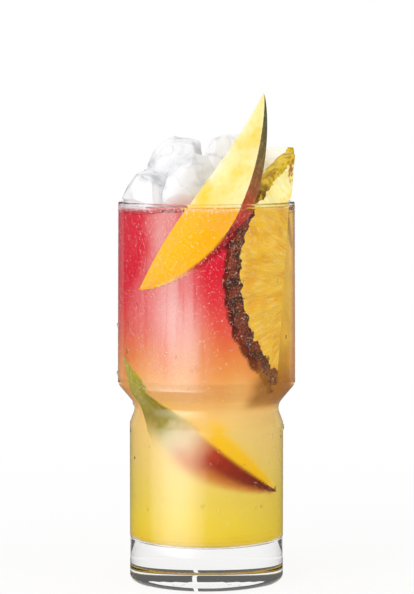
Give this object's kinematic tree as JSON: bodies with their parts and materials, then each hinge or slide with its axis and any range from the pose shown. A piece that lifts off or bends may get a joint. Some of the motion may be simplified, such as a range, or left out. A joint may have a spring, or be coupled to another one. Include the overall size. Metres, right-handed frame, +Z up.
{
  "type": "bay breeze cocktail in a highball glass",
  "caption": "Waisted highball glass filled with a fruit drink that fades from red to gold, with mango and pineapple slices and ice standing above the rim.",
  "frame": {"origin": "centre of the glass's foot, on the surface that it stands on", "axes": "+Z up along the axis of the glass; -Y is the front, the side that the mango slice leans on"},
  "size_m": [0.0782, 0.0782, 0.2148],
  "materials": {
    "glass": "clear polished soda-lime glass, fire-polished rim",
    "drink": "cloudy juice, crimson at the top through coral to golden yellow at the base",
    "mango": "moist fibrous flesh, waxy skin from green to crimson",
    "pineapple": "juicy fibrous flesh with a rough brown rind",
    "ice": "wet melting ice, cloudy inside and clear at the edges"
  },
  "bodies": {
    "root": {"glass": "glass", "drink": "drink", "mango_top": "mango", "mango_low": "mango", "pineapple_front": "pineapple", "pineapple_back": "pineapple", "ice_1": "ice", "ice_2": "ice", "ice_3": "ice", "ice_4": "ice", "ice_5": "ice", "ice_6": "ice", "ice_7": "ice"}
  },
  "joints": []
}
